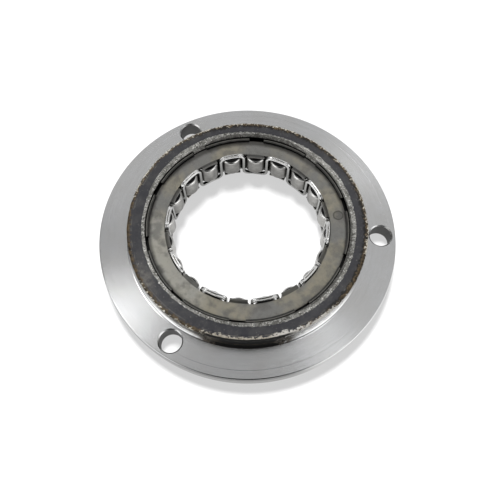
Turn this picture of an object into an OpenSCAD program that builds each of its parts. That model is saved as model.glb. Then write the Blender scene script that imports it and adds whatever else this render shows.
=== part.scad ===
// One-way clutch: a flanged housing that holds a drawn cam cup, two end plates,
// a ring of rollers and the wavy spring strip that spaces and nudges them.
// A shaft through the middle turns freely one way and is gripped the other way.
// The mounting face is at z = 0, the hub points up, and the first bolt hole is on +X.

/* [Shaft and rollers] */
// Diameter of the shaft that the clutch grips
shaft_d = 59; // [55:0.5:70]
// Diameter of one roller
roller_d = 9; // [8:0.25:10]
// Length of one roller
roller_len = 8.8; // [7:0.2:12]
// Radius of the rounding at a roller's ends
roller_edge = 1; // [0.3:0.1:1.5]
// Number of rollers, always even
roller_count = 20; // [16:2:22]
// How far the rollers stand inside the shaft's surface while the clutch is empty
roller_reach = 0.2; // [0.1:0.05:0.3]

/* [Cam cup] */
// Wall of the cup outside the radius where a roller locks
cup_wall = 1.33; // [1.2:0.01:2.5]
// Thickness of the cup's in-turned lip
cup_lip_t = 0.8; // [0.6:0.1:1.2]
// Width of the cup's in-turned lip
cup_lip_w = 3.6; // [2.4:0.1:4.5]
// Slope of a ramp against the roller's path, in degrees
ramp_angle = 4.7; // [4:0.1:5.5]
// Width of the rib between two ramps, in degrees
rib_angle = 2.5; // [1.5:0.25:3]
// How far a rib stands inside the radius where a roller locks
rib_step = 0.8; // [0.4:0.1:1.2]
// Wall of the cup's rim beside the top plate
rim_t = 1; // [0.8:0.05:1.4]
// Height of the rim above the top plate
rim_rise = 1; // [0.6:0.1:1.6]
// How far the rim's top is bent inwards over the plate
rim_crimp = 0.35; // [0.2:0.05:0.6]
// Width of a notch in the rim, in degrees
notch_angle = 8.9; // [6:0.1:12]
// How far a notch is turned from the middle of its cell, in degrees
notch_turn = 0.5; // [-3:0.1:3]

/* [End plates] */
// Thickness of an end plate
plate_t = 1; // [0.6:0.1:1.2]
// Width of a tongue on a plate's inner edge, in degrees
tongue_angle = 12.4; // [9:0.1:12.8]
// How far a tongue is bent away from the rollers
tongue_bend = 0.5; // [0.2:0.05:0.9]
// Radial length of the raised tip of a tongue
tongue_tip = 0.8; // [0.5:0.1:1]

/* [Spring strip] */
// Width of the strip where it runs down between two rollers
leg_w = 1.15; // [0.8:0.05:1.3]
// Height of the strip where it passes above or below a roller
bar_h = 0.9; // [0.6:0.05:1.2]
// Thickness of the strip towards the shaft
strip_t = 1.5; // [1:0.1:1.8]
// Radius on the outside of the strip's bends
bend_r = 2.5; // [1.3:0.05:3]
// Radius on the inside of the strip's bends
inner_bend_r = 1.6; // [0.3:0.05:1.8]
// How far the strip stands out past an end plate
strip_over = 1.4; // [1.2:0.1:1.6]

/* [Housing] */
// Wall of the hub around the cup
hub_wall = 6.95; // [4:0.05:12]
// How far the flange stands out from the hub
flange_w = 12.2; // [11:0.1:20]
// Thickness of the flange
flange_t = 7.5; // [5:0.1:9]
// Fillet where the hub meets the flange
hub_fillet = 1.2; // [0.5:0.1:1.6]
// Chamfer around the hub's top
hub_edge = 0.8; // [0.3:0.1:1.5]
// Chamfer around the flange's edges
flange_edge = 0.5; // [0.2:0.1:1]
// Small chamfer at the mouth of the bore
bore_edge = 0.2; // [0.1:0.05:0.5]
// Thickness of the shoulder that the cup rests on
shoulder_t = 1.1; // [1:0.1:2]
// Width of the shoulder
shoulder_w = 2.8; // [1.5:0.1:3.2]
// How far the cup's rim lies below the hub's top
rim_depth = 0.7; // [0.5:0.1:1.5]

/* [Stakes] */
// Cells in whose notches the hub's inner edge is pressed down to hold the cup, all even
stake_cells = [4, 8]; // [2:2:22]
// How far the tip of a stake stands inside the bore
stake_over = 0.9; // [0.5:0.05:0.95]
// How far the tip of a stake lies below the hub's top
stake_drop = 1; // [0.6:0.1:1.3]

/* [Bolt holes] */
// Number of bolt holes
bolt_count = 3; // [3:1:6]
// Diameter of a bolt hole
bolt_hole_d = 8.5; // [6.5:0.1:9]
// Distance from a bolt hole's middle to the flange's rim
bolt_inset = 6; // [5.5:0.1:6.4]
// Chamfer at both ends of a bolt hole
bolt_edge = 0.3; // [0.1:0.05:0.5]
// How far the rollers are turned from the first bolt hole, in degrees
cell_turn = -3.65; // [-18:0.05:18]

/* [Fits] */
// Gap between a roller's end and a plate
end_gap = 0.1; // [0.05:0.01:0.2]
// Radial gap of the cup in the bore, nominal for a press fit
press_gap = 0.02; // [0.01:0.01:0.05]
// Radial gap of an end plate in the cup
plate_gap = 0.1; // [0.05:0.01:0.2]
// Radial gap between the strip and the shaft
strip_gap = 1; // [0.5:0.05:1.3]
// Radial gap between the strip and the plate around it
notch_gap = 0.4; // [0.3:0.05:0.6]
// Gap between a stake and the notch and plate around it
stake_gap = 0.15; // [0.05:0.05:0.3]
// Gap between the shaft and the tips of the tongues
tongue_gap = 1.2; // [0.6:0.05:1.5]

/* [Hidden] */
$fn = 96;
// Straight pieces that stand for one small rounding
arc_steps = 5;
// Overlap that joins two shapes of one solid, and how far a cut runs past a face
lap = 0.3;

shaft_r = shaft_d / 2;
roller_r = roller_d / 2;
pitch = 360 / roller_count;
// Where the middle of a roller runs: with the shaft in, and in the empty clutch
lock_orbit_r = shaft_r + roller_r;
rest_orbit_r = lock_orbit_r - roller_reach;
// Distance of a ramp's flat from the clutch's axis
ramp_dist = lock_orbit_r * cos(ramp_angle) + roller_r;
rib_r = shaft_r + roller_d - rib_step;

cup_r = shaft_r + roller_d + cup_wall;
bore_r = cup_r + press_gap;
seat_r = cup_r - rim_t;
plate_r = seat_r - plate_gap;
hub_r = bore_r + hub_wall;
flange_r = hub_r + flange_w;
shoulder_r = bore_r - shoulder_w;
stake_r = bore_r - stake_over;
bolt_r = flange_r - bolt_inset;

// Heights, from the mounting face up
lip_top = shoulder_t + cup_lip_t;
low_plate_top = lip_top + plate_t;
roller_z = low_plate_top + end_gap;
cam_top = roller_z + roller_len + end_gap;
plate_top = cam_top + plate_t;
rim_top = plate_top + rim_rise;
hub_top = rim_top + rim_depth;
strip_top = plate_top + strip_over;
strip_low = lip_top - strip_over;

strip_in_r = shaft_r + strip_gap;
strip_out_r = strip_in_r + strip_t;
notch_r = strip_out_r + notch_gap;
tongue_r = shaft_r + tongue_gap;

rollers = [1:roller_count];
function roller_name(i) = str("roller_", i < 10 ? "0" : "", i);
// Angle of roller i: the odd ones lie under the strip's arches
function cell_angle(i) = cell_turn + (i - 1) * pitch;
function polar(r, a) = [r * cos(a), r * sin(a)];
// Points of an arc around [x, y] from angle a to angle b
function arc(x, y, r, a, b) =
    [for (k = [0:arc_steps]) [x, y] + polar(r, a + (b - a) * k / arc_steps)];

// Flange, hub, bore and shoulder as one turned outline, with the bolt holes drilled through
// and the stakes that hold the cup
module housing() {
    outline = concat(
        [[shoulder_r, 0], [flange_r - flange_edge, 0], [flange_r, flange_edge]],
        [[flange_r, flange_t - flange_edge], [flange_r - flange_edge, flange_t]],
        arc(hub_r + hub_fillet, flange_t + hub_fillet, hub_fillet, 270, 180),
        [[hub_r, hub_top - hub_edge], [hub_r - hub_edge, hub_top]],
        [[bore_r + bore_edge, hub_top], [bore_r, hub_top - bore_edge]],
        [[bore_r, shoulder_t], [shoulder_r, shoulder_t]]
    );
    color("silver") {
        difference() {
            rotate_extrude() polygon(outline);
            for (i = [0:bolt_count - 1])
                rotate(i * 360 / bolt_count) translate([bolt_r, 0, 0]) bolt_hole();
        }
        for (i = stake_cells)
            rotate(cell_angle(i) + notch_turn) stake();
    }
}

// Metal of the hub's inner edge that is pressed down into one notch of the cup
module stake() {
    stake_low = plate_top + stake_gap;
    stake_angle = notch_angle - 2 * stake_gap / stake_r * 180 / PI;
    rotate(-stake_angle / 2) rotate_extrude(angle = stake_angle) polygon([
        [stake_r, stake_low], [bore_r + lap, stake_low],
        [bore_r + lap, hub_top - bore_edge], [stake_r, hub_top - stake_drop]
    ]);
}

// The space of one bolt hole, wider at both ends by its chamfer
module bolt_hole() {
    translate([0, 0, -lap]) cylinder(d = bolt_hole_d, h = flange_t + 2 * lap);
    for (end = [0, 1])
        translate([0, 0, end * flange_t]) mirror([0, 0, end])
            translate([0, 0, -lap]) cylinder(
                d1 = bolt_hole_d + 2 * (bolt_edge + lap),
                d2 = bolt_hole_d,
                h = bolt_edge + lap
            );
}

// Distance from the axis to a cell's ramp, at an angle from the cell's middle
function ramp_r(a) = ramp_dist / cos(a + ramp_angle);

// Outline that the rollers roll in: a flat ramp and a rib for each cell
function cam_outline() = [
    for (i = rollers)
        let (c = cell_angle(i), edge = pitch / 2 - rib_angle)
        each [
            polar(rib_r, c - pitch / 2 - rib_angle / 4),
            polar(rib_r, c - pitch / 2 + rib_angle / 4),
            polar(ramp_r(-edge), c - edge),
            polar(ramp_r(edge), c + edge)
        ]
];

// Drawn cup: lip below, seats for both plates, ramps between them, notched rim on top
module cam_cup() {
    lip_r = cup_r - cup_lip_w;
    rim_in_r = cup_r - rim_crimp - rim_t;
    outline = [
        [lip_r, shoulder_t], [cup_r, shoulder_t], [cup_r, plate_top],
        [cup_r - rim_crimp, rim_top], [rim_in_r, rim_top], [rim_in_r, plate_top],
        [seat_r, plate_top], [seat_r, cam_top], [lip_r, cam_top],
        [lip_r, low_plate_top], [seat_r, low_plate_top], [seat_r, lip_top], [lip_r, lip_top]
    ];
    color("dimgray") difference() {
        rotate_extrude() polygon(outline);
        translate([0, 0, low_plate_top - lap])
            linear_extrude(cam_top - low_plate_top + 2 * lap) polygon(cam_outline());
        for (i = [2:2:roller_count])
            rotate(cell_angle(i) + notch_turn - notch_angle / 2)
                rotate_extrude(angle = notch_angle)
                    translate([rim_in_r - lap, cam_top])
                        square([cup_r - rim_in_r + 2 * lap, rim_top - cam_top + lap]);
    }
}

// One pressed plate lying on z = 0, with a tongue bent up in every second cell:
// a ring with its inner edge bent up all round, cut back between the tongues
module end_plate() {
    fold_r = notch_r - plate_t / 4;
    knee_r = tongue_r + tongue_tip;
    round_r = plate_t / 4;
    outline = concat(
        [[plate_r, 0], [plate_r, plate_t], [fold_r, plate_t], [knee_r, plate_t + tongue_bend]],
        arc(tongue_r + round_r, plate_t + tongue_bend - round_r, round_r, 90, 180),
        [[tongue_r, tongue_bend], [knee_r, tongue_bend], [fold_r, 0]]
    );
    difference() {
        rotate_extrude() polygon(outline);
        for (i = [2:2:roller_count])
            rotate((i - 1) * pitch + tongue_angle / 2)
                rotate_extrude(angle = 2 * pitch - tongue_angle)
                    translate([tongue_r - lap, -lap])
                        square([notch_r - tongue_r + lap, plate_t + tongue_bend + 2 * lap]);
    }
}

// The plate under the notched rim: its tongues stand between the strip's arches
module top_plate() {
    color("#8a887f") translate([0, 0, cam_top]) rotate(cell_turn) end_plate();
}

// The same plate turned over: its tongues stand under the arches, where the strip is open
module bottom_plate() {
    color("#8a887f") translate([0, 0, low_plate_top]) rotate(cell_turn + pitch)
        mirror([0, 0, 1]) end_plate();
}

// Outlines beside a leg of the strip: x runs around the clutch from the leg's middle, y up.
// This one is the space under an arch, with the bend's inner rounding.
function window_outline() =
    let (
        side = leg_w / 2,
        under = strip_top - bar_h,
        next_leg = 2 * strip_out_r * tan(pitch / 2)
    )
    concat(
        [[side, strip_low - lap]],
        arc(side + inner_bend_r, under - inner_bend_r, inner_bend_r, 180, 90),
        [[next_leg, under], [next_leg, strip_low - lap]]
    );
// This one is the corner cut away outside the bend. Its first and last points stand off
// the strip, in line with the two straight pieces of the rounding that they end.
function corner_outline() =
    let (
        side = leg_w / 2,
        bend = arc(bend_r - side, strip_top - bend_r, bend_r, 180, 90)
    )
    concat(
        [[-side - lap, strip_top + lap], 2 * bend[0] - bend[1]],
        [for (k = [1:arc_steps - 1]) bend[k]],
        [2 * bend[arc_steps] - bend[arc_steps - 1]]
    );

// An outline beside the leg on one side of a cell, run through the strip's thickness
module through_strip(outline, side) {
    near_r = strip_in_r * cos(pitch) - lap;
    mirror([0, side, 0]) rotate(-pitch / 2)
        translate([near_r, 0, 0]) rotate([90, 0, 90])
            linear_extrude(strip_out_r + lap - near_r) polygon(outline);
}

// What is cut from the strip's band at an arch: the window below it and the two corners above
module arch_cut() {
    intersection() {
        through_strip(window_outline(), 0);
        through_strip(window_outline(), 1);
    }
    for (side = [0, 1]) through_strip(corner_outline(), side);
}

// The strip: a band with windows cut from below and from above in turn, which leaves
// legs joined by arches over the odd cells and by bars under the even ones
module spring_strip() {
    color("whitesmoke") difference() {
        translate([0, 0, strip_low]) cylinder(r = strip_out_r, h = strip_top - strip_low);
        translate([0, 0, strip_low - lap])
            cylinder(r = strip_in_r, h = strip_top - strip_low + 2 * lap);
        for (i = [1:2:roller_count]) rotate(cell_angle(i)) arch_cut();
        for (i = [2:2:roller_count])
            rotate(cell_angle(i)) translate([0, 0, strip_low + strip_top])
                mirror([0, 0, 1]) arch_cut();
    }
}

// Roller i, standing in the middle of its cell
module roller(i) {
    outline = concat(
        [[0, 0]],
        arc(roller_r - roller_edge, roller_edge, roller_edge, -90, 0),
        arc(roller_r - roller_edge, roller_len - roller_edge, roller_edge, 0, 90),
        [[0, roller_len]]
    );
    color("lightgray") rotate(cell_angle(i)) translate([rest_orbit_r, 0, roller_z])
        rotate_extrude() polygon(outline);
}

housing();
cam_cup();
top_plate();
bottom_plate();
spring_strip();
for (i = rollers) roller(i);
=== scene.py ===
"""Looks of the one-way clutch: finely turned housing, rollers and spring strip built here
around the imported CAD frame, with procedural materials, studio light and the photo's camera."""

import math
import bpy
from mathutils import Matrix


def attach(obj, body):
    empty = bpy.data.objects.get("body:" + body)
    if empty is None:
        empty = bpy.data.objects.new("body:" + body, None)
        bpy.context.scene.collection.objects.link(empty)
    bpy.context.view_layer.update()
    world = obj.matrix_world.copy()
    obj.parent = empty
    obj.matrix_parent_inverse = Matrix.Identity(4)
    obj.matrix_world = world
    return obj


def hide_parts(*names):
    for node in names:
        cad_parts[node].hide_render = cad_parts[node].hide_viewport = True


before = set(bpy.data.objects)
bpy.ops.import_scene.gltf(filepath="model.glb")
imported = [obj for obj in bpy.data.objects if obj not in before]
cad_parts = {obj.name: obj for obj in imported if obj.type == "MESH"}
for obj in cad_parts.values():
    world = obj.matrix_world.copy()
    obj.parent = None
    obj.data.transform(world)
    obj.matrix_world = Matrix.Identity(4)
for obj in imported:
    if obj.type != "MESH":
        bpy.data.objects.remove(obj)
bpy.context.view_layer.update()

from types import SimpleNamespace

import bmesh
import bpy
import numpy as np
from mathutils import Matrix

# Sizes in millimetres, as in the CAD source. Angles are in degrees.
MM = 0.001
FLANGE_R, FLANGE_T, FLANGE_EDGE = 59.0, 7.5, 0.5
HUB_R, HUB_TOP, HUB_FILLET = 46.8, 14.6, 1.2
FILLET_R = HUB_R + HUB_FILLET
BORE_R, SHOULDER_R, SHOULDER_T = 39.85, 37.05, 1.1
# The holes' chamfers are drawn 0.5 wide, where the CAD has 0.3
BOLT_R, BOLT_D, BOLT_EDGE, BOLTS = 53.0, 8.5, 0.5, 3
ROLLER_R, ROLLER_LEN, ROLLER_EDGE, ROLLER_Z = 4.5, 8.8, 1.0, 3.0
ORBIT_R, CELLS, CELL_TURN = 33.8, 20, -3.65
STRIP_IN, STRIP_OUT, STRIP_LOW, STRIP_TOP = 30.5, 32.0, 0.5, 14.3
STRIP_R, STRIP_Z = (STRIP_IN + STRIP_OUT) / 2, (STRIP_LOW + STRIP_TOP) / 2
LEG_W, BAR_H, BEND_R, INNER_BEND_R = 1.15, 0.9, 2.5, 1.6
PITCH = 360 / CELLS
# The cup's rim, the outward faces of the two plates and the tips of their tongues
RIM_IN, RIM_TOP = 38.83, 13.9
PLATE_TOP, PLATE_LOW, TONGUE_R = 12.9, 1.9, 30.7
# The thin groove round the hub's wall, and the line scribed round the flange
SEAM_LOW, SEAM_HIGH, SEAM_DEPTH = 9.6, 10.07, 0.12
SCRIBE_R, SCRIBE_W, SCRIBE_DEPTH = 55.7, 0.12, 0.035
# Cells in whose notches the hub's edge is staked, the notches' turn and width, and the stakes' size
STAKE_CELLS, NOTCH_TURN, NOTCH_W = (4, 8), 0.5, 8.9
STAKE_OVER, STAKE_TOP, STAKE_LOW = 0.9, 13.6, 13.05
# The photo's width in pixels, and how far its camera sees the part turned about its axis
PHOTO_PX = 500
VIEW_TURN = math.radians(2.354)

# Tones of painted black for dark reflections and shade, and of painted deep shade, and the hub's
# left part as sector() takes it
BLACK, DEEP_SHADE = (0.006, 0.006, 0.006), (0.012, 0.012, 0.011)
HUB_LEFT = (-132, 22, 12)


def noise_ring(count, knots, seed):
    """A smooth random row of numbers from -1 to 1 that closes on itself."""
    draw = np.random.default_rng(seed).uniform(-1, 1, knots)
    at = np.arange(count) * knots / count
    low = np.floor(at).astype(int)
    share = at - low
    share = share * share * (3 - 2 * share)
    return draw[low % knots] * (1 - share) + draw[(low + 1) % knots] * share


def arc(x, y, r, start, end, steps):
    """Points of an arc around x, y from one angle to another."""
    turn = np.radians(np.linspace(start, end, steps + 1))
    return [(x + r * math.cos(a), y + r * math.sin(a)) for a in turn]


def revolved(outline, count):
    """Points of a closed outline of (radius, height) turned round the z axis in count steps."""
    rim = np.array(outline, float)
    turn = np.arange(count) * 2 * math.pi / count
    points = np.zeros((count, len(rim), 3))
    points[:, :, 0] = np.cos(turn)[:, None] * rim[None, :, 0]
    points[:, :, 1] = np.sin(turn)[:, None] * rim[None, :, 0]
    points[:, :, 2] = rim[None, :, 1]
    return points


def grid_faces(rows, columns, closed=True):
    """Quads that join a grid of points, closed along its rows, and across them if asked."""
    faces = []
    for i in range(rows):
        j = (i + 1) % rows
        for k in range(columns if closed else columns - 1):
            m = (k + 1) % columns
            faces.append((i * columns + k, j * columns + k, j * columns + m, i * columns + m))
    return faces


def piece(name, points, faces, material, sharp):
    """A smooth-shaded mesh from points in millimetres, with edges sharper than an angle kept."""
    mesh = bpy.data.meshes.new(name)
    mesh.from_pydata([tuple(p) for p in np.asarray(points).reshape(-1, 3) * MM], [], faces)
    mesh.validate()
    finish_mesh(mesh, sharp)
    obj = bpy.data.objects.new(name, mesh)
    bpy.context.scene.collection.objects.link(obj)
    mesh.materials.append(material)
    return obj


def finish_mesh(mesh, sharp):
    """Faces outwards, smooth shading and sharp edges where the surface bends."""
    work = bmesh.new()
    work.from_mesh(mesh)
    bmesh.ops.recalc_face_normals(work, faces=work.faces)
    work.to_mesh(mesh)
    work.free()
    mesh.shade_smooth()
    mesh.set_sharp_from_angle(angle=math.radians(sharp))


def cut(obj, cutters):
    """Takes the cutters' shapes out of a piece and leaves a plain mesh."""
    for cutter in cutters:
        step = obj.modifiers.new("cut", "BOOLEAN")
        step.operation, step.solver, step.object = "DIFFERENCE", "EXACT", cutter
    bpy.context.view_layer.update()
    solved = obj.evaluated_get(bpy.context.evaluated_depsgraph_get())
    shape = bpy.data.meshes.new_from_object(solved)
    obj.modifiers.clear()
    obj.data = shape
    for cutter in cutters:
        bpy.data.objects.remove(cutter)


# Shader nodes ---------------------------------------------------------------------------


class Num:
    """A number or colour inside a shader, so that node maths is written as plain maths."""

    def __init__(self, tree, socket):
        self.tree, self.socket = tree, socket

    def math(self, kind, *others):
        """The result of one maths node on this value and others."""
        node = self.tree.nodes.new("ShaderNodeMath")
        node.operation = kind
        for i, value in enumerate((self,) + others):
            put(self.tree, node.inputs[i], value)
        return Num(self.tree, node.outputs[0])

    def __add__(self, other):
        return self.math("ADD", other)

    def __sub__(self, other):
        return self.math("SUBTRACT", other)

    def __mul__(self, other):
        return self.math("MULTIPLY", other)

    def __rsub__(self, other):
        return (self * -1) + other

    __radd__, __rmul__ = __add__, __mul__

    def swing(self, reach):
        """A noise from 0 to 1 as an offset that swings by half the reach to both sides of 0."""
        return (self - 0.5) * reach

    def step(self, low, high):
        """0 below low, 1 above high, smooth between; the other way round if low is above high."""
        node = self.tree.nodes.new("ShaderNodeMapRange")
        node.interpolation_type = "SMOOTHSTEP"
        put(self.tree, node.inputs["Value"], self)
        node.inputs["From Min"].default_value = min(low, high)
        node.inputs["From Max"].default_value = max(low, high)
        node.inputs["To Min"].default_value = float(low > high)
        node.inputs["To Max"].default_value = float(low <= high)
        return Num(self.tree, node.outputs[0])


def put(tree, socket, value):
    """Links a Num to a socket, or sets a number, a vector or a colour on it."""
    if isinstance(value, Num):
        tree.links.new(value.socket, socket)
    elif isinstance(value, tuple) and len(value) == 3 and len(socket.default_value) == 4:
        socket.default_value = (*value, 1.0)
    else:
        socket.default_value = value


class Shader:
    """A new material with its coordinates in millimetres, and the nodes it is made of."""

    def __init__(self, name):
        self.material = bpy.data.materials.new(name)
        self.material.use_nodes = True
        self.tree = self.material.node_tree
        self.tree.nodes.clear()
        where = self.tree.nodes.new("ShaderNodeTexCoord").outputs["Object"]
        scale = self.tree.nodes.new("ShaderNodeVectorMath")
        scale.operation = "SCALE"
        self.tree.links.new(where, scale.inputs[0])
        scale.inputs["Scale"].default_value = 1 / MM
        self.place = Num(self.tree, scale.outputs[0])
        split = self.tree.nodes.new("ShaderNodeSeparateXYZ")
        self.tree.links.new(scale.outputs[0], split.inputs[0])
        self.x, self.y, self.z = (Num(self.tree, s) for s in split.outputs)
        self.r = (self.x * self.x + self.y * self.y).math("SQRT")
        self.turn = self.y.math("ARCTAN2", self.x)

    def beside(self, x, y):
        """Distance from the upright line through x, y."""
        dx, dy = self.x - x, self.y - y
        return (dx * dx + dy * dy).math("SQRT")

    def near_bolt(self):
        """Distance from the axis of the nearest bolt hole."""
        turns = [2 * math.pi * i / BOLTS for i in range(BOLTS)]
        nearest, *rest = [self.beside(BOLT_R * math.cos(a), BOLT_R * math.sin(a)) for a in turns]
        for other in rest:
            nearest = nearest.math("MINIMUM", other)
        return nearest

    def away(self, middle):
        """Angle from a direction given in degrees, in radians and not wrapped at the back."""
        return (self.turn - math.radians(middle)).math("ABSOLUTE")

    def sector(self, middle, half, fade):
        """1 within half of an angle round the z axis, 0 beyond that and the fade, in degrees."""
        near, far = math.cos(math.radians(half)), math.cos(math.radians(half + fade))
        return (self.turn - math.radians(middle)).math("COSINE").step(far, near)

    def vector(self, x, y, z):
        """Three numbers as one vector."""
        node = self.tree.nodes.new("ShaderNodeCombineXYZ")
        for socket, value in zip(node.inputs, (x, y, z)):
            put(self.tree, socket, value)
        return Num(self.tree, node.outputs[0])

    def ring(self, across, along):
        """Coordinates whose grain runs round the z axis: cells per mm across it and along it."""
        return self.vector(self.r * across, self.x * along, self.y * along + self.z * across)

    def noise(self, scale, detail, rough, at=None, lift=0.0):
        """Noise from 0 to 1, in cells per mm; lift gives noises of one scale their own pattern."""
        node = self.tree.nodes.new("ShaderNodeTexNoise")
        node.noise_dimensions = "4D"
        put(self.tree, node.inputs["Vector"], at or self.place)
        node.inputs["W"].default_value = lift
        node.inputs["Scale"].default_value = scale
        node.inputs["Detail"].default_value = detail
        node.inputs["Roughness"].default_value = rough
        return Num(self.tree, node.outputs["Fac"])

    def mix(self, share, one, two):
        """The first colour where the share is 0, the second where it is 1."""
        node = self.tree.nodes.new("ShaderNodeMix")
        node.data_type = "RGBA"
        put(self.tree, node.inputs["Factor"], share)
        put(self.tree, node.inputs[6], one)
        put(self.tree, node.inputs[7], two)
        return Num(self.tree, node.outputs[2])

    def bump(self, height, depth):
        """A normal for a relief that is depth millimetres deep where the height is 1."""
        node = self.tree.nodes.new("ShaderNodeBump")
        node.inputs["Strength"].default_value = 1.0
        put(self.tree, node.inputs["Distance"], depth * MM)
        put(self.tree, node.inputs["Height"], height)
        return Num(self.tree, node.outputs[0])

    def finish(self, color, rough, metal, bump, grain=0.0):
        """Ends the material; grain stretches its highlights across turned marks."""
        node = self.tree.nodes.new("ShaderNodeBsdfPrincipled")
        put(self.tree, node.inputs["Base Color"], color)
        put(self.tree, node.inputs["Roughness"], rough)
        put(self.tree, node.inputs["Metallic"], metal)
        put(self.tree, node.inputs["Normal"], bump)
        if grain:
            node.inputs["Anisotropic"].default_value = grain
            node.inputs["Anisotropic Rotation"].default_value = 0.25
            tangent = self.tree.nodes.new("ShaderNodeTangent")
            tangent.direction_type, tangent.axis = "RADIAL", "Z"
            self.tree.links.new(tangent.outputs[0], node.inputs["Tangent"])
        out = self.tree.nodes.new("ShaderNodeOutputMaterial")
        self.tree.links.new(node.outputs[0], out.inputs["Surface"])
        return self.material


def flange_paint(s, n):
    """Colour of the bare turned faces and of the flange's outer wall."""
    steel = s.mix(n.lines.step(0.3, 0.7), (0.545, 0.55, 0.555), (0.575, 0.58, 0.585))
    steel = s.mix(n.lumps.step(0.35, 0.7) * 0.2, steel, (0.48, 0.48, 0.47))
    steel = s.mix(n.cloud.step(0.35, 0.75) * 0.35, steel, (0.49, 0.48, 0.46))
    dots = s.noise(0.9, 2.0, 0.5, lift=9.3).step(0.77, 0.80)
    steel = s.mix(dots * 0.5, steel, (0.2, 0.19, 0.18))
    # The outer wall: dull, with a painted dark reflection along its upper edge in front and a
    # painted highlight on the right
    outer_wall = s.r.step(FLANGE_R - 0.12, FLANGE_R - 0.04)
    steel = s.mix(outer_wall, steel, (0.34, 0.338, 0.33))
    # Painted dark reflection along the wall's upper edge in front
    painted_dark_band = (s.away(-118) + n.waves.swing(0.3)).step(0.98, 0.72)
    painted_dark_band = painted_dark_band * (s.z + n.lumps.swing(1.5)).step(4.6, 5.2) * outer_wall
    steel = s.mix(painted_dark_band * 0.85, steel, (0.05, 0.048, 0.045))
    # Painted highlight on the wall's right side
    sheen_and_scratch = s.away(-38).step(0.60, 0.34)
    return s.mix(outer_wall * sheen_and_scratch, steel, (0.93, 0.93, 0.92))


def wall_paint(s, n, steel):
    """Colour of the hub's wall over the steel, and where it is painted black as a dark reflection.
    """
    # Painted dark reflection: black in front, where the finish ends in rust, and bare beside it
    wall = s.r.step(FILLET_R + 0.2, FILLET_R - 0.3) * s.r.step(BORE_R + 4, BORE_R + 5)
    wall = wall * s.z.step(FLANGE_T - 0.05, FLANGE_T + 0.1)
    front = s.away(-89) + n.waves.swing(0.2) + n.chips.swing(0.1)
    black = wall * front.step(0.30, 0.24)
    rusty = wall * front.step(0.42, 0.32) * n.chips.step(0.34, 0.46)
    steel = s.mix(wall * s.z.step(FLANGE_T + 0.2, FLANGE_T + 0.7), steel, (0.92, 0.92, 0.91))
    steel = s.mix(rusty * 0.85, steel, (0.085, 0.06, 0.035))
    steel = s.mix(black, steel, BLACK)
    # Patchy dark brown in the seam, darker at the sides and the back, and brown on the left
    seam = wall * s.z.step(SEAM_LOW - 0.1, SEAM_LOW + 0.05)
    seam = seam * s.z.step(SEAM_HIGH + 0.23, SEAM_HIGH + 0.08)
    steel = s.mix(seam * n.lumps.step(0.35, 0.55) * 0.8, steel, (0.10, 0.085, 0.06))
    sides = s.away(-88) + n.waves.swing(0.5)
    sides = sides.step(1.35, 1.6) * sides.step(4.95, 4.65)
    sides = sides * wall * s.z.step(FLANGE_T + 0.4, FLANGE_T + 1.1)
    dull = s.mix(n.lumps.step(0.35, 0.65), (0.06, 0.055, 0.048), (0.11, 0.10, 0.085))
    steel = s.mix(sides * 0.94, steel, dull)
    brown = s.sector(*HUB_LEFT) * wall * (s.z + n.waves.swing(2.0)).step(9.2, 10.0)
    return s.mix(brown * 0.85, steel, (0.17, 0.155, 0.125)), black


def oxide_paint(s, n):
    """Black oxide with a cloudy skin, a few specks, a painted haze of reflection and a scribed
    ring.
    """
    oxide = s.mix(n.specks.step(0.3, 0.8), (0.020, 0.020, 0.024), (0.032, 0.032, 0.036))
    oxide = s.mix(n.waves.step(0.46, 0.64) * 0.45, oxide, (0.055, 0.054, 0.054))
    sparse = s.noise(2.2, 1.0, 0.5, lift=12.5).step(0.70, 0.74)
    oxide = s.mix(sparse * 0.6, oxide, (0.25, 0.24, 0.22))
    sheen_and_scratch = (0.17, 0.16, 0.14)
    # Painted reflection: a lighter haze on the lower left of the top
    painted_haze = (s.away(-147) + (s.r - 44.2).math("ABSOLUTE") * 0.05).step(0.24, 0.02)
    oxide = s.mix(painted_haze * n.lumps.step(0.3, 0.6) * 0.5, oxide, sheen_and_scratch)
    near = s.r + n.lumps * 0.5
    scribed = near.step(45.0, 45.12) * near.step(45.35, 45.25)
    return s.mix(scribed * 0.4 * n.waves.step(0.46, 0.56), oxide, sheen_and_scratch)


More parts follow.
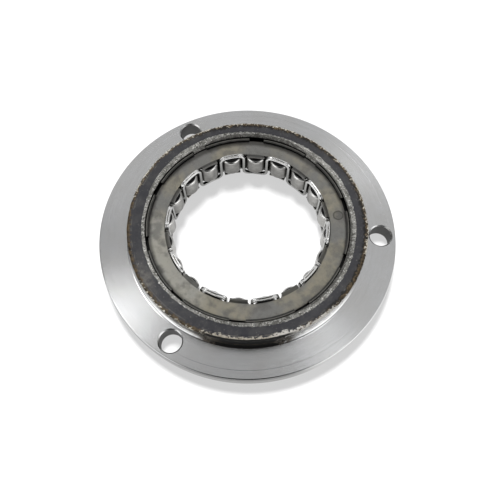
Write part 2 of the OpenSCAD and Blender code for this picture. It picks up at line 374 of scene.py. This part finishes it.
def top_paint(s, n, on_top):
    """Colour of the hub's top, and the shares that its roughness and relief need."""
    wander = n.lumps.swing(1.3) + n.chips.swing(0.9)
    ragged = n.chips.swing(3.0) + n.lumps.swing(1.6) + n.specks.swing(1.4)
    narrow = s.sector(-150, 20, 90)
    in_front, rubbed_edge = s.sector(-88, 17, 7), s.sector(-57, 11, 12)
    # Worn bare along the bore, speckled, and dark again at its very edge
    oxidised = (s.r + narrow - s.sector(130, 12, 30) * 0.6 - wander).step(41.95, 42.15)
    worn = s.mix(n.waves.step(0.3, 0.7), (0.22, 0.217, 0.20), (0.40, 0.395, 0.37))
    worn = s.mix(n.lumps.step(0.50, 0.60) * 0.75, worn, (0.10, 0.097, 0.088))
    worn = s.mix(n.specks.step(0.54, 0.60) * 0.85, worn, (0.95, 0.94, 0.90))
    low = s.r + narrow * 0.6 - s.sector(85, 18, 14) - s.sector(-30, 20, 15) * 0.45
    worn = s.mix((low - wander * 0.4).step(40.5, 40.2) * 0.7, worn, (0.075, 0.073, 0.067))
    top = s.mix(oxidised, worn, oxide_paint(s, n))
    # Soot, then rust, then light flecks along the outer edge, and a painted dark reflection on the
    # edge in front
    edge = s.r + ragged * (1 - in_front * 0.6)
    soot = edge.step(44.75, 44.95) * (1 - in_front) * s.sector(35, 75, 30)
    top = s.mix(soot, top, (0.007, 0.006, 0.005))
    rust = s.mix(n.lumps.step(0.4, 0.6), (0.018, 0.013, 0.008), (0.095, 0.068, 0.038))
    top = s.mix(edge.step(45.45, 45.6), top, rust)
    flecks = s.mix(n.specks.step(0.4, 0.6), (0.24, 0.21, 0.165), (0.80, 0.77, 0.68))
    flecks = s.mix(in_front * 0.75, flecks, (0.20, 0.18, 0.145))
    flecks = s.mix(rubbed_edge * 0.8, flecks, (0.45, 0.44, 0.42))
    reach = n.chips.swing(5.0) + n.specks.swing(2.5) + in_front * 1.1 + rubbed_edge * 0.5
    reach = reach - s.sector(-171, 14, 12) * 1.2 - s.sector(-30, 9, 9) * 0.9
    reach = reach - s.sector(*HUB_LEFT) * 0.5
    top = s.mix((s.r + reach).step(46.3, 46.45), top, flecks)
    # Painted dark reflection: the rounded edge is black in front
    chamfer = on_top * in_front * (s.r + n.lumps.swing(0.5)).step(46.0, 46.15)
    top = s.mix(chamfer, top, BLACK)
    return top, oxidised, edge.step(45.95, 46.2), soot, chamfer


def housing_steel():
    """Turned steel, with a blackened hub top whose edges are worn, burred and rusty."""
    s = Shader("turned_steel")
    grain = s.noise(1.0, 2.0, 0.6, s.ring(9.0, 0.05))
    fine = s.noise(1.0, 1.0, 0.5, s.ring(26.0, 0.12), 3.0)
    n = SimpleNamespace(
        lines=s.noise(1.0, 2.0, 0.6, s.ring(1.3, 0.06), 6.0),
        cloud=s.noise(0.09, 3.0, 0.5),
        waves=s.noise(0.22, 3.0, 0.6, lift=4.4),
        lumps=s.noise(0.55, 4.0, 0.65, lift=1.7),
        chips=s.noise(1.1, 2.0, 0.6, lift=8.4),
        specks=s.noise(1.9, 3.0, 0.7, lift=5.1),
    )
    on_top = s.z.step(HUB_TOP - 0.7, HUB_TOP - 0.5)
    inside_hole = s.near_bolt().step(BOLT_D / 2 + 0.1, BOLT_D / 2 - 0.04)
    # Painted shade in the bolt holes, whose walls are also rougher
    steel = s.mix(inside_hole, flange_paint(s, n), (0.06, 0.059, 0.057))
    steel, black = wall_paint(s, n, steel)
    top, oxidised, outer, soot, chamfer = top_paint(s, n, on_top)
    color = s.mix(on_top, steel, top)

    # The stakes are grey with painted shade below their tips, and the bore's mouth is painted black
    # as shade
    staked = s.r.step(BORE_R - 0.10, BORE_R - 0.16) * s.z.step(12.0, 12.5)
    grey = s.mix(n.specks.step(0.45, 0.6), (0.10, 0.098, 0.09), (0.30, 0.295, 0.28))
    color = s.mix(staked, color, grey)
    color = s.mix(staked * s.z.step(STAKE_TOP - 0.1, STAKE_TOP - 0.35), color, (0.03, 0.029, 0.027))
    mouth = s.r.step(BORE_R - 0.08, BORE_R - 0.04) * s.r.step(BORE_R + 0.08, BORE_R + 0.04)
    color = s.mix(mouth * s.z.step(HUB_TOP - 0.3, HUB_TOP - 0.45), color, BLACK)

    polished = s.r.step(FLANGE_R - 0.75, FLANGE_R - 0.6)
    polished = polished + s.z.step(8.8, 8.5) * s.r.step(FILLET_R + 0.1, FILLET_R - 0.1)
    rough = s.mix(on_top, (0.25,) * 3, (0.44,) * 3) + grain.swing(0.04) + staked * 0.2
    rough = rough + (black + chamfer) * 0.5 + on_top * soot * 0.2 + inside_hole * 0.25
    rough = rough - polished.math("MINIMUM", 1.0) * 0.15 * (1 - black)
    bare = 1 - on_top * oxidised * (1 - outer * 0.6)
    metal = bare * (1 - chamfer * 0.6) * 0.95 + 0.05 - black * 0.6
    pitted = on_top * (n.specks * 3.0 + n.chips * 4.0) * (1.1 - oxidised * (1 - outer))
    height = fine * 0.25 + grain * 0.3 + pitted
    return s.finish(color, rough, metal, s.bump(height, 0.010), grain=0.8)


def cup_steel():
    """Dark hardened steel: a dark grey rim with a worn line on its top, the rest black with painted
    shade.
    """
    s = Shader("dark_steel")
    lumps = s.noise(0.5, 4.0, 0.6)
    specks = s.noise(2.4, 3.0, 0.6, lift=2.0)
    edge = s.r + lumps.swing(0.25)
    line = edge.step(RIM_IN + 0.17, RIM_IN + 0.27) * edge.step(RIM_IN + 0.62, RIM_IN + 0.52)
    dark = s.mix(lumps.step(0.3, 0.7), (0.030, 0.030, 0.029), (0.058, 0.057, 0.053))
    dark = s.mix(line * specks.step(0.25, 0.5), dark, (0.13, 0.127, 0.115))
    # Painted shade: all below the rim's top is near black
    color = s.mix(s.z.step(RIM_TOP - 0.35, RIM_TOP - 0.15), (0.008, 0.008, 0.008), dark)
    return s.finish(color, 0.42, 0.8, s.bump(specks, 0.008))


def plate_steel(name, upper):
    """Pressed strip steel with grey-brown mottling from heat treatment and oily stains, and painted
    shade.
    """
    s = Shader(name)
    cloud = s.noise(0.085, 3.0, 0.55, lift=4.0)
    lumps = s.noise(0.35, 4.0, 0.6)
    specks = s.noise(3.0, 3.0, 0.65, lift=2.0)
    color = s.mix(cloud.step(0.40, 0.60), (0.185, 0.184, 0.175), (0.27, 0.25, 0.195))
    color = s.mix(s.sector(-150, 24, 18) * 0.6, color, (0.40, 0.395, 0.36))
    grey = s.noise(0.16, 4.0, 0.6, lift=6.6)
    color = s.mix(grey.step(0.48, 0.62) * 0.65, color, (0.125, 0.122, 0.115))
    color = s.mix(lumps.step(0.48, 0.72) * 0.4, color, (0.12, 0.117, 0.108))
    color = s.mix(specks.step(0.45, 0.75) * 0.3, color, (0.33, 0.32, 0.28))
    dots = s.noise(1.1, 2.0, 0.5, lift=7.7).step(0.73, 0.77)
    color = s.mix(dots * 0.7, color, (0.05, 0.045, 0.04))
    if upper:
        # Painted shade along the rim, deepest at the back, painted shade on the bend of the tongues
        # with their lighter tips, and the round mark of a punch
        painted_rim_shade = s.r + lumps.swing(1.2) + s.sector(92, 25, 40) * 0.9 - s.sector(-60, 45, 40) * 0.8
        color = s.mix(painted_rim_shade.step(36.8, 38.4) * 0.75, color, (0.045, 0.043, 0.040))
        bend = s.r.step(STRIP_OUT + 0.45, STRIP_OUT + 0.2)
        color = s.mix(bend * 0.8, color, (0.05, 0.05, 0.048))
        color = s.mix(s.r.step(TONGUE_R + 0.3, TONGUE_R + 0.15), color, (0.15, 0.147, 0.14))
        # Painted deep shade on the faces below the top
        color = s.mix(s.z.step(PLATE_TOP - 0.2, PLATE_TOP - 0.3), color, DEEP_SHADE)
        mark = s.beside(35.4, 5.6) + lumps.swing(0.6)
        mark = mark.step(2.3, 1.9) * (0.3 + mark.step(1.3, 1.7) * 0.45)
        color = s.mix(mark, color, (0.06, 0.058, 0.052))
    else:
        # Painted shade: the side towards the rollers is black
        color = s.mix(s.z.step(PLATE_LOW + 0.3, PLATE_LOW + 0.45), color, DEEP_SHADE)
    rough = 0.42 + lumps.swing(0.2)
    height = specks * 0.7 + lumps * 0.5
    return s.finish(color, rough, 0.7, s.bump(height, 0.012))


def spring_steel():
    """Polished spring strip with faint drawing marks, oily dirt in its groove, painted shade on its
    middle and low corners, and a painted highlight along its top.
    """
    s = Shader("bright_steel")
    marks = s.noise(1.0, 2.0, 0.6, s.ring(2.2, 0.08))
    color = s.mix(marks.step(0.3, 0.7), (0.50, 0.50, 0.49), (0.56, 0.56, 0.55))
    from_middle = (s.z - STRIP_Z).math("ABSOLUTE")
    # Painted shade: darker along the strip's middle
    color = s.mix(from_middle.step(5.6, 4.6), color, (0.38, 0.38, 0.37))
    # Painted highlight along the strip's top
    color = s.mix(from_middle.step(6.0, 6.4) * s.z.step(6.0, 8.0), color, (0.72, 0.72, 0.71))
    # 0 in the middle of an arch, 0.5 in the middle of a bar
    along = (s.turn - math.radians(CELL_TURN)) * (1 / math.radians(2 * PITCH))
    along = along.math("PINGPONG", 0.5)
    groove = (s.r - STRIP_R).math("ABSOLUTE").step(0.22, 0.10) * from_middle.step(6.6, 6.72)
    oily = s.noise(0.35, 2.0, 0.5, lift=3.3).step(0.40, 0.50)
    oily = groove * along.step(0.15, 0.11) * (0.35 + oily * 0.6)
    color = s.mix(oily, color, (0.10, 0.09, 0.07))
    # Painted shade in the strip's low corners
    low = s.r.step(30.75, 30.95) * s.z.step(3.4, 2.6) * s.z.step(1.2, 1.35)
    color = s.mix(low * 0.95, color, (0.015, 0.015, 0.014))
    return s.finish(color, 0.24 + marks.swing(0.06) + low * 0.3, 1.0, s.bump(marks, 0.002))


def roller_steel():
    """Ground rollers: satin faces with faint scuffs, painted highlights on their rounded edges, and
    ends in painted shade.
    """
    s = Shader("roller_steel")
    rings = s.noise(1.0, 2.0, 0.5, s.vector(s.x * 0.15, s.y * 0.15, s.z * 7.0))
    lumps = s.noise(0.5, 4.0, 0.6)
    scuffs = s.noise(1.8, 4.0, 0.7, lift=6.0)
    color = s.mix(lumps.step(0.3, 0.7), (0.23, 0.225, 0.215), (0.34, 0.335, 0.32))
    color = s.mix(scuffs.step(0.55, 0.75) * 0.4, color, (0.20, 0.195, 0.18))
    half = ROLLER_LEN / 2
    from_middle = (s.z - half).math("ABSOLUTE")
    rounded = from_middle.step(half - 0.95, half - 0.8)
    ends = from_middle.step(half - 0.14, half - 0.05)
    # Painted highlight on the rounded edges, and painted shade on the ends
    color = s.mix(rounded, color, (0.66, 0.655, 0.64))
    color = s.mix(ends, color, (0.010, 0.010, 0.010))
    rough = 0.30 + rings.swing(0.14) + ends * 0.3 - rounded * 0.08
    return s.finish(color, rough, 1 - ends * 0.5, s.bump(rings + scuffs * 0.5, 0.006))


# Pieces ---------------------------------------------------------------------------------


def bolt_cutter(number):
    """The space of one bolt hole, with a chamfer at both ends."""
    r, over, steps = BOLT_D / 2, 1.0, 96
    wide = r + BOLT_EDGE
    outline = [
        (wide, -over), (wide, 0), (r, BOLT_EDGE),
        (r, FLANGE_T - BOLT_EDGE), (wide, FLANGE_T), (wide, FLANGE_T + over),
    ]
    work = bmesh.new()
    rings = []
    for radius, z in outline:
        circle = arc(0, 0, radius, 0, 360, steps)[:-1]
        rings.append([work.verts.new((x * MM, y * MM, z * MM)) for x, y in circle])
    for low, high in zip(rings, rings[1:]):
        for i in range(steps):
            j = (i + 1) % steps
            work.faces.new((low[i], low[j], high[j], high[i]))
    work.faces.new(list(reversed(rings[0])))
    work.faces.new(rings[-1])
    mesh = bpy.data.meshes.new("cutter")
    work.to_mesh(mesh)
    work.free()
    obj = bpy.data.objects.new("cutter", mesh)
    bpy.context.scene.collection.objects.link(obj)
    at = 2 * math.pi * number / BOLTS
    obj.location = (BOLT_R * MM * math.cos(at), BOLT_R * MM * math.sin(at), 0)
    return obj


def housing_outline():
    """The housing's profile, and where its outer edge, its inner lip and its bore start in it."""
    # Points this far beside each rounding keep the flat faces' shading flat
    hold = 0.06
    rim, top = FLANGE_R - FLANGE_EDGE, FLANGE_T - FLANGE_EDGE
    flange = (
        [(SHOULDER_R, 0), (SHOULDER_R + 2, 0), (FLANGE_R - 4, 0), (rim - hold, 0)]
        + arc(rim, FLANGE_EDGE, FLANGE_EDGE, -90, 0, 6)
        + [(FLANGE_R, FLANGE_EDGE + hold), (FLANGE_R, 5.0), (FLANGE_R, top - hold)]
        + arc(rim, top, FLANGE_EDGE, 0, 90, 6)
        + [(rim - hold, FLANGE_T), (SCRIBE_R + SCRIBE_W + hold, FLANGE_T)]
        + [(SCRIBE_R + SCRIBE_W, FLANGE_T), (SCRIBE_R, FLANGE_T - SCRIBE_DEPTH)]
        + [(SCRIBE_R - SCRIBE_W, FLANGE_T), (SCRIBE_R - SCRIBE_W - hold, FLANGE_T)]
    )
    seam_r = HUB_R - SEAM_DEPTH
    wall = (
        [(FILLET_R + hold, FLANGE_T)]
        + arc(FILLET_R, FLANGE_T + HUB_FILLET, HUB_FILLET, 270, 180, 10)
        + [(HUB_R, 8.8), (HUB_R, SEAM_LOW), (seam_r, SEAM_LOW + 0.12)]
        + [(seam_r, SEAM_HIGH - 0.12), (HUB_R, SEAM_HIGH), (HUB_R, 11.5), (HUB_R, 12.8)]
    )
    edge = [(0, 1.1), (0, 0.7), (0.06, 0.4), (0.18, 0.18), (0.36, 0.05), (0.65, 0), (1.0, 0)]
    edge = [(HUB_R - inside, HUB_TOP - below) for inside, below in edge]
    flat = [(r, HUB_TOP) for r in (45.2, 44.0, 42.4)]
    lip = [(r, HUB_TOP) for r in (41.7, 41.3, 40.9, 40.5)]
    lip += [(40.2, HUB_TOP - 0.04), (BORE_R + 0.12, HUB_TOP - 0.14)]
    bore = [(BORE_R, z) for z in (HUB_TOP - 0.3, HUB_TOP - 0.75, STAKE_LOW, STAKE_LOW - 0.04)]
    bore += [(BORE_R, 8.0), (BORE_R, SHOULDER_T), (SHOULDER_R, SHOULDER_T)]
    edge_at = len(flange + wall)
    lip_at = edge_at + len(edge + flat)
    spans = (edge_at, edge_at + len(edge)), (lip_at, lip_at + len(lip))
    return flange + wall + edge + flat + lip + bore, *spans


def make_housing(material):
    """The turned housing with its burred edge, its uneven lip, its stakes and its bolt holes."""
    count = 720
    outline, edge, lip = housing_outline()
    points = revolved(outline, count)
    turn = np.arange(count) * 2 * math.pi / count
    out = np.stack([np.cos(turn), np.sin(turn), 0 * turn], 1)
    # The burr along the hub's outer edge, strongest near its middle line
    rough = 0.55 + 0.45 * noise_ring(count, 24, 7)
    shared = 0.7 * noise_ring(count, 210, 5) + 0.5 * noise_ring(count, 70, 6)
    for k in range(*edge):
        share = 1 - abs((k - edge[0]) / (edge[1] - edge[0] - 1) - 0.45) * 1.8
        ragged = shared + 0.6 * noise_ring(count, 300, 10 + k)
        points[:, k] += out * (ragged * rough * 0.26 * share)[:, None]
        points[:, k, 2] += (noise_ring(count, 280, 90 + k) * 0.12 - 0.06) * share
    for k in range(*lip):
        points[:, k, 2] += noise_ring(count, 110, 130 + k) * 0.05 - 0.05
        points[:, k] += out * (noise_ring(count, 90, 170 + k) * 0.05)[:, None]
    # The stakes: the bore's upper edge stands in over the plate in two of the cup's notches
    tip = (0.1, HUB_TOP - 0.4), (STAKE_OVER - 0.12, STAKE_TOP), (STAKE_OVER, STAKE_LOW + 0.3)
    for cell in STAKE_CELLS:
        middle = math.radians(CELL_TURN + (cell - 1) * PITCH + NOTCH_TURN)
        away = np.abs((turn - middle + math.pi) % (2 * math.pi) - math.pi)
        share = np.clip((math.radians(NOTCH_W / 2 - 0.2) - away) / math.radians(0.4), 0, 1)
        share = share * (0.96 + 0.04 * noise_ring(count, 160, 60 + cell))
        for k, (over, z) in enumerate(tip, start=lip[1]):
            aim = out * (BORE_R - over) + (0, 0, z)
            points[:, k] += (aim - points[:, k]) * share[:, None]
    obj = piece("housing_turned", points, grid_faces(count, len(outline)), material, 30)
    cut(obj, [bolt_cutter(i) for i in range(BOLTS)])
    finish_mesh(obj.data, 20)
    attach(obj, "housing")
    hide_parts("housing")


def strip_edges():
    """Both edge lines of the strip over one arch, from leg to leg, as (run, height) in mm."""
    half = math.radians(PITCH / 2) * STRIP_R
    outer = (LEG_W / 2, STRIP_TOP, BEND_R)
    inner = (-LEG_W / 2, STRIP_TOP - BAR_H, INNER_BEND_R)
    lines = []
    for side, top, bend in (outer, inner):
        left, right = -half - side, half + side
        line = [(left, z) for z in np.linspace(STRIP_Z, top - bend, 6)[:-1]]
        line += arc(left + bend, top - bend, bend, 180, 90, 8)
        line += [(x, top) for x in np.linspace(left + bend, right - bend, 12)[1:-1]]
        line += arc(right - bend, top - bend, bend, 90, 0, 8)
        line += [(right, z) for z in np.linspace(top - bend, STRIP_Z, 6)[1:-1]]
        lines.append(np.array(line))
    return lines


def strip_section(width, dent, arch):
    """The strip's section as (across, radius) points, dented on the side away from its roller."""
    round_r, groove_w, floor_w = 0.24, 0.32, 0.16
    left, right = round_r, width - round_r
    low, high = STRIP_IN + round_r, STRIP_OUT - round_r
    upper, lower = (0, dent) if arch else (dent, 0)
    ring = arc(left, high, round_r, 180, 90, 3) + arc(right, high, round_r, 90, 0, 3)
    ring += [(width, STRIP_R + groove_w), (width - upper, STRIP_R + floor_w)]
    ring += [(width - upper, STRIP_R - floor_w), (width, STRIP_R - groove_w)]
    ring += arc(right, low, round_r, 0, -90, 3) + arc(left, low, round_r, -90, -180, 3)
    ring += [(0, STRIP_R - groove_w), (lower, STRIP_R - floor_w)]
    ring += [(lower, STRIP_R + floor_w), (0, STRIP_R + groove_w)]
    return ring


def make_strip(material):
    """The spring strip: one wave over and under the rollers, with a groove along its bars."""
    outer, inner = strip_edges()
    groove_d, mirror, lift = 0.13, (1, -1), (0, 2 * STRIP_Z)
    sections = []
    for cell in range(CELLS):
        arch = cell % 2 == 0
        left, right = (outer, inner) if arch else (inner * mirror + lift, outer * mirror + lift)
        away = np.linspace(-1, 1, len(left))
        dents = groove_d * np.clip((0.62 - abs(away)) / 0.1, 0, 1)
        base = math.radians(CELL_TURN + cell * PITCH)
        for a, b, dent in zip(left, right, dents):
            width = np.linalg.norm(b - a)
            ring = strip_section(width, dent, arch)
            for w, r in ring:
                run, z = a + (b - a) / width * w
                turn = base + run / STRIP_R
                sections.append((r * math.cos(turn), r * math.sin(turn), z))
    columns = len(ring)
    faces = grid_faces(len(sections) // columns, columns)
    obj = piece("spring_polished", sections, faces, material, 40)
    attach(obj, "strip")
    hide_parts("spring_strip")


def make_roller(number, material):
    """A ground roller with crowned face, rounded edges and slightly dished ends."""
    half, count, inside = ROLLER_LEN / 2, 72, ROLLER_R - ROLLER_EDGE
    face = [(ROLLER_R - 0.02 * (z / 4) ** 4, half + z) for z in np.linspace(-3.7, 3.7, 7)]
    outline = (
        [(0.05, 0.06), (2.2, 0.05), (2.9, 0.0)]
        + arc(inside, ROLLER_EDGE, ROLLER_EDGE, -90, -8, 7)
        + face
        + arc(inside, ROLLER_LEN - ROLLER_EDGE, ROLLER_EDGE, 8, 90, 7)
        + [(2.9, ROLLER_LEN), (2.2, ROLLER_LEN - 0.05), (0.05, ROLLER_LEN - 0.06)]
    )
    columns = len(outline)
    faces = grid_faces(count, columns, closed=False)
    faces.append([i * columns for i in range(count)])
    faces.append([i * columns + columns - 1 for i in reversed(range(count))])
    name = f"roller_{number:02d}"
    obj = piece("ground_" + name, revolved(outline, count), faces, material, 40)
    turn = math.radians(CELL_TURN + (number - 1) * PITCH)
    obj.location = (ORBIT_R * MM * math.cos(turn), ORBIT_R * MM * math.sin(turn), ROLLER_Z * MM)
    obj.rotation_euler.z = np.random.default_rng(number).uniform(0, 2 * math.pi)
    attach(obj, name)
    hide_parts(name)


make_housing(housing_steel())
make_strip(spring_steel())
rollers = roller_steel()
for number in range(1, CELLS + 1):
    make_roller(number, rollers)
for name, material in (
    ("cam_cup", cup_steel()),
    ("top_plate", plate_steel("plate_upper", True)),
    ("bottom_plate", plate_steel("plate_lower", False)),
):
    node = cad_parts[name]
    node.data.materials.clear()
    node.data.materials.append(material)


# Stage ----------------------------------------------------------------------------------


def turned(x, y, z):
    """A direction or place given as the camera sees the part, in the row frame."""
    c, s = math.cos(VIEW_TURN), math.sin(VIEW_TURN)
    return (x * c - y * s, x * s + y * c, z)


def make_camera():
    """The photo's camera, fitted to the flange, the holes and the hub."""
    # Focal length in the photo's pixels, the distance, the rise, and the aim past the axis
    focal, distance, rise = 546.076, 3.699 * FLANGE_R, math.radians(64.683)
    aside, over = math.atan(-2.368 / focal), math.atan(-19.37 / focal)
    s, c = math.sin(rise), math.cos(rise)
    right, up, ahead = np.array([[1, 0, 0], [0, s, c], [0, c, -s]])
    place = np.array([0, 0, FLANGE_T]) - ahead * distance
    s, c = math.sin(aside), math.cos(aside)
    right, ahead = right * c + ahead * s, ahead * c - right * s
    s, c = math.sin(over), math.cos(over)
    up, ahead = up * c - ahead * s, up * s + ahead * c
    data = bpy.data.cameras.new("camera")
    data.sensor_width = 36
    data.lens = focal / PHOTO_PX * data.sensor_width
    data.clip_start, data.clip_end = 0.01, 20
    camera = bpy.data.objects.new("camera", data)
    bpy.context.scene.collection.objects.link(camera)
    matrix = np.eye(4)
    matrix[:3, :3] = np.array([turned(*axis) for axis in (right, up, -ahead)]).T
    matrix[:3, 3] = np.array(turned(*place)) * MM
    camera.matrix_world = Matrix(matrix.tolist())
    bpy.context.scene.camera = camera


def make_floor():
    """A pale floor that shows white and keeps the shadow, and shines evenly on the part."""
    size, low = 3, -0.05 * MM
    corners = [(-size, -size, low), (size, -size, low), (size, size, low), (-size, size, low)]
    mesh = bpy.data.meshes.new("floor")
    mesh.from_pydata(corners, [], [(0, 1, 2, 3)])
    floor = bpy.data.objects.new("floor", mesh)
    bpy.context.scene.collection.objects.link(floor)
    material = bpy.data.materials.new("floor_white")
    material.use_nodes = True
    tree = material.node_tree
    tree.nodes.clear()
    # What the part gets from the floor: plain light. What is seen: the shadow under a glow
    even = tree.nodes.new("ShaderNodeEmission")
    even.inputs["Strength"].default_value = 0.7
    shadow = tree.nodes.new("ShaderNodeBsdfDiffuse")
    shadow.inputs["Color"].default_value = (0.05, 0.05, 0.05, 1)
    glow = tree.nodes.new("ShaderNodeEmission")
    glow.inputs["Strength"].default_value = 0.60
    both = tree.nodes.new("ShaderNodeAddShader")
    tree.links.new(shadow.outputs[0], both.inputs[0])
    tree.links.new(glow.outputs[0], both.inputs[1])
    path = tree.nodes.new("ShaderNodeLightPath")
    seen = Num(tree, path.outputs["Is Camera Ray"])
    for ray in ("Is Glossy Ray", "Is Transmission Ray"):
        seen = seen.math("MAXIMUM", Num(tree, path.outputs[ray]))
    mix = tree.nodes.new("ShaderNodeMixShader")
    tree.links.new(seen.socket, mix.inputs[0])
    tree.links.new(even.outputs[0], mix.inputs[1])
    tree.links.new(both.outputs[0], mix.inputs[2])
    # Seen from below the floor is open, so that it doesn't hide the part's underside
    below = tree.nodes.new("ShaderNodeMixShader")
    back = tree.nodes.new("ShaderNodeNewGeometry").outputs["Backfacing"]
    tree.links.new(back, below.inputs[0])
    tree.links.new(mix.outputs[0], below.inputs[1])
    tree.links.new(tree.nodes.new("ShaderNodeBsdfTransparent").outputs[0], below.inputs[2])
    out = tree.nodes.new("ShaderNodeOutputMaterial")
    tree.links.new(below.outputs[0], out.inputs["Surface"])
    mesh.materials.append(material)
    return floor


def make_world():
    """A white studio, dim round the camera and a little brighter where its soft boxes stand."""
    world = bpy.data.worlds.new("studio")
    bpy.context.scene.world = world
    world.use_nodes = True
    tree = world.node_tree
    tree.nodes.clear()
    where = tree.nodes.new("ShaderNodeTexCoord").outputs["Generated"]

    def lobe(direction, inside, outside):
        """1 within the first angle of a direction, 0 beyond the second."""
        unit = np.array(turned(*direction)) / np.linalg.norm(direction)
        node = tree.nodes.new("ShaderNodeVectorMath")
        node.operation = "DOT_PRODUCT"
        tree.links.new(where, node.inputs[0])
        node.inputs[1].default_value = tuple(unit)
        near, far = math.cos(math.radians(inside)), math.cos(math.radians(outside))
        return Num(tree, node.outputs["Value"]).step(far, near)

    # Strength, direction, and the angles within and beyond which it is whole and gone
    dim = (
        (0.84, (0, -0.42, 0.90), 14, 38), (0.86, (0, -0.97, 0.18), 14, 38),
        (0.75, (-0.44, 0.33, 0.84), 5, 11),
        (0.60, (-0.89, 0.42, 0.12), 10, 26), (0.60, (0.89, 0.42, 0.12), 10, 26),
    )
    boxes = (
        (1.6, (-0.80, -0.52, 0.28), 8, 28), (1.6, (0.80, -0.52, 0.28), 8, 28),
        (7.5, (-0.39, 0.16, 0.90), 2, 9), (5.0, (0.24, 0.07, 0.97), 1, 6),
        (1.6, (0.35, 0.61, 0.71), 2, 9),
    )
    light = 0.90
    for strength, direction, inside, outside in dim:
        light = light - strength * lobe(direction, inside, outside)
    light = light.math("MAXIMUM", 0.03)
    for strength, direction, inside, outside in boxes:
        light = light + strength * lobe(direction, inside, outside)
    path = tree.nodes.new("ShaderNodeLightPath")
    seen = Num(tree, path.outputs["Is Camera Ray"])
    back = tree.nodes.new("ShaderNodeBackground")
    back.inputs["Color"].default_value = (1, 1, 1, 1)
    put(tree, back.inputs["Strength"], light * 0.8 * (1 - seen) + seen)
    out = tree.nodes.new("ShaderNodeOutputWorld")
    tree.links.new(back.outputs[0], out.inputs["Surface"])


def make_sun(name, energy, wide, floor=None):
    """A lamp above and behind the part, for everything or for the floor alone."""
    data = bpy.data.lights.new(name, "SUN")
    data.energy, data.angle = energy, math.radians(wide)
    lamp = bpy.data.objects.new(name, data)
    bpy.context.scene.collection.objects.link(lamp)
    rise, aside = math.radians(61), -0.08
    x, y, z = turned(aside, math.cos(rise), math.sin(rise))
    lamp.rotation_euler = (math.atan2(math.hypot(x, y), z), 0, math.atan2(x, -y))
    lamp.visible_glossy = False
    if floor:
        only = bpy.data.collections.new("floor_only")
        only.objects.link(floor)
        lamp.light_linking.receiver_collection = only


make_camera()
ground = make_floor()
make_world()
make_sun("key", energy=2.2, wide=9)
# The floor has a strong lamp of its own, so that its shadow is as plain as the photo's
make_sun("floor_key", energy=40, wide=16, floor=ground)
bpy.context.scene.view_settings.view_transform = "Standard"
